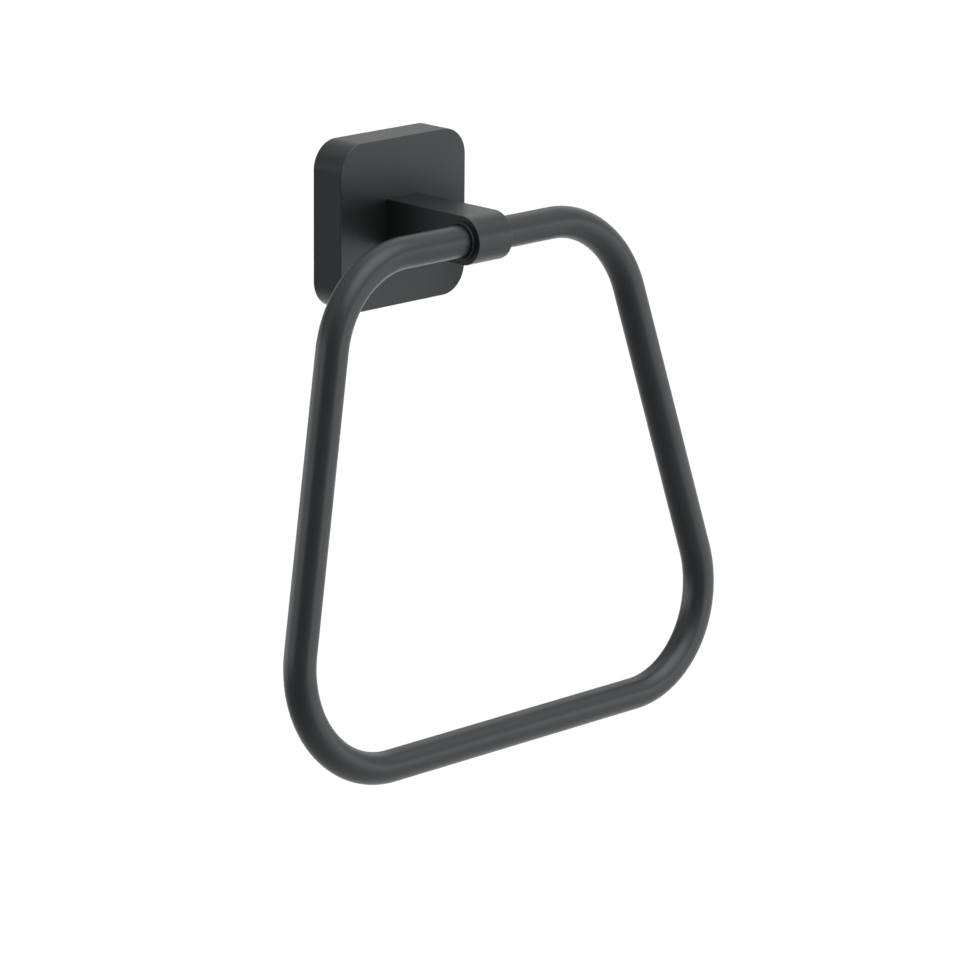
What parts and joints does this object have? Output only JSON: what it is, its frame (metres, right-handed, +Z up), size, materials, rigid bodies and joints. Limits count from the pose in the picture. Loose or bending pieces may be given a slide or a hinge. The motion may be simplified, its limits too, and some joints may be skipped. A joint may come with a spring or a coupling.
{
  "type": "towel ring",
  "caption": "Wall-mounted towel ring: a round rod bent to a trapezoid swings in the bushed eye of a short square arm on a rounded-square cover plate over a hidden wall bracket.",
  "frame": {"origin": "middle of the cover plate, on the wall plane", "axes": "+X to the right seen from the room, +Y into the wall, +Z up"},
  "size_m": [0.186, 0.0697, 0.1883],
  "materials": {
    "black_powder_coat": "satin black powder coat",
    "zinc_plated_steel": "bright zinc",
    "black_oxide_steel": "black oxide",
    "black_nylon": "moulded"
  },
  "bodies": {
    "base": {"cover_plate": "black_powder_coat", "wall_bracket": "zinc_plated_steel", "cover_set_screw": "black_oxide_steel", "arm": "black_powder_coat", "arm_screw": "zinc_plated_steel", "eye_bush": "black_nylon", "ring_retaining_screw": "black_oxide_steel"},
    "ring": {"ring": "black_powder_coat"}
  },
  "joints": [
    {"name": "ring_swing", "type": "hinge", "parent": "base", "child": "ring", "pos_m": [0, -0.0465, 0], "axis": [-1, 0, 0], "range_deg": [-21.5, 188]}
  ]
}
